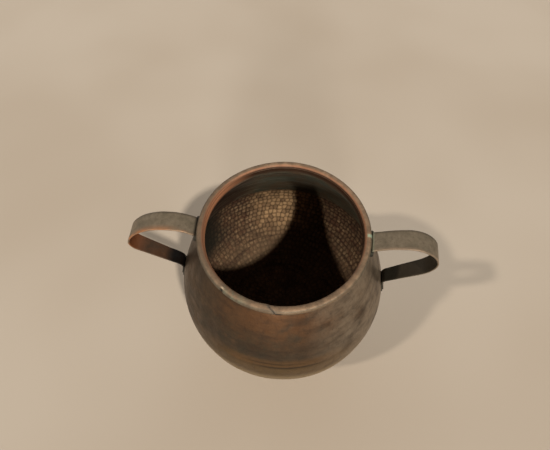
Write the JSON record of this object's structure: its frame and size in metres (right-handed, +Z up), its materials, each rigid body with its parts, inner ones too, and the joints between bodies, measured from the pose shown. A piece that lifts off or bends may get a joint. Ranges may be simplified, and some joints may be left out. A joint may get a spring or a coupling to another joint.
{
  "type": "two-handled pot",
  "caption": "Raised round-bellied metal pot with an open neck, a rolled wired rim and fixed strap handles, flat underneath.",
  "frame": {"origin": "centre of the flat underside", "axes": "+Z up through the mouth, +X towards the right handle as seen from the rim's seam, -Y towards the rim's seam"},
  "size_m": [0.2998, 0.231, 0.2191],
  "materials": {
    "copper": "aged, hammered, brown patina",
    "copper_strap": "aged, grey-brown patina",
    "iron": "black forged",
    "filler": "dull, green-grey"
  },
  "bodies": {
    "root": {"bowl_body": "copper", "rim_wire": "iron", "handle_right": "copper_strap", "handle_left": "copper_strap", "braze_right_upper": "filler", "braze_right_lower": "filler", "braze_left_upper": "filler", "braze_left_lower": "filler"}
  },
  "joints": []
}
